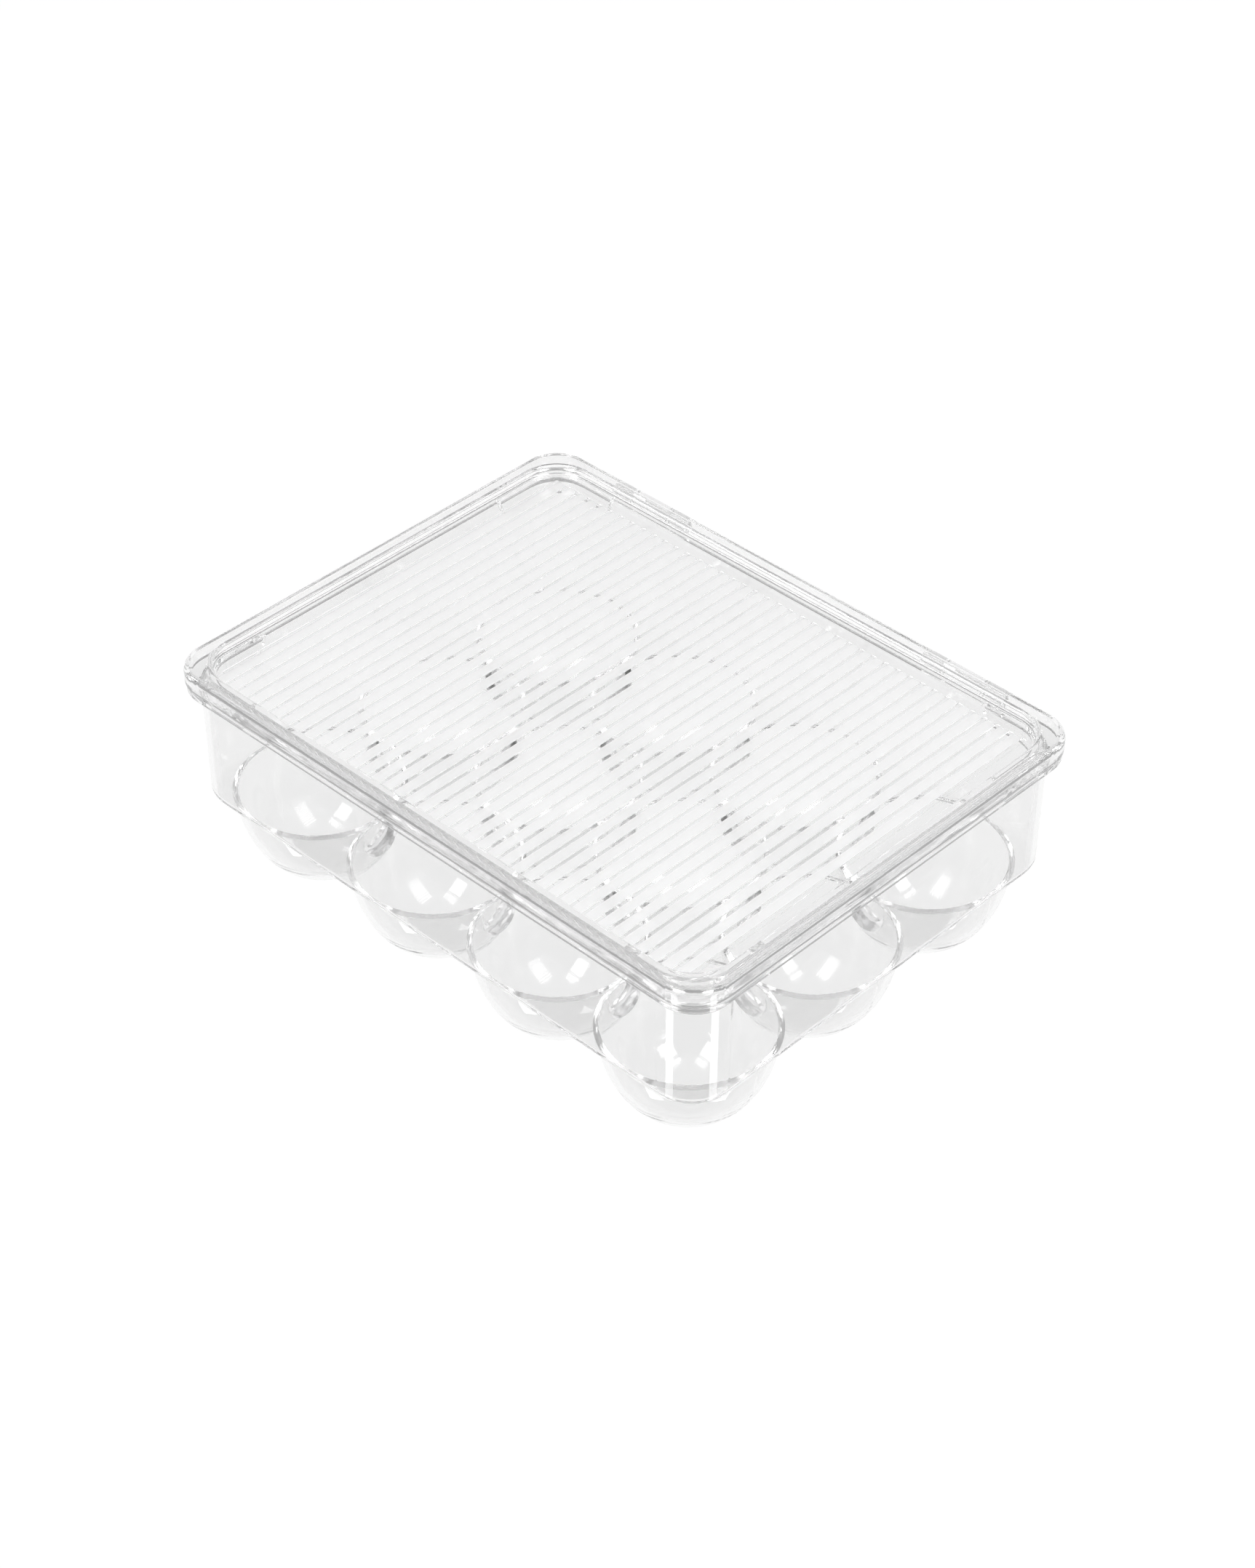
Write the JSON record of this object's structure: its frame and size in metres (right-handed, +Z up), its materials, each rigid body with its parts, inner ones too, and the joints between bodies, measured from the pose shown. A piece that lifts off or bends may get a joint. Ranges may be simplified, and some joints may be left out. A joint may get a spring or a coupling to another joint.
{
  "type": "egg keeper",
  "caption": "Clear moulded tray with a grid of round egg cups under straight walls and a ribbed lid that flips up on two hinge pins at its back.",
  "frame": {"origin": "middle of the footprint on the surface that the cup feet stand on; the hinge knuckles make the box's middle lie 1 mm further back", "axes": "+X along the four columns of cups, +Y along the three rows towards the hinge, +Z up"},
  "size_m": [0.202, 0.156, 0.0732],
  "materials": {
    "tray_plastic": "clear, polished",
    "lid_plastic": "clear, polished, ribbed underside",
    "pin_plastic": "clear, smooth"
  },
  "bodies": {
    "tray": {"egg_tray": "tray_plastic", "hinge_pin_left": "pin_plastic", "hinge_pin_right": "pin_plastic"},
    "lid": {"lid": "lid_plastic"}
  },
  "joints": [
    {"name": "lid_hinge", "type": "hinge", "parent": "tray", "child": "lid", "pos_m": [0, 0.07705, 0.0675], "axis": [-1, 0, 0], "range_deg": [0, 110]}
  ]
}
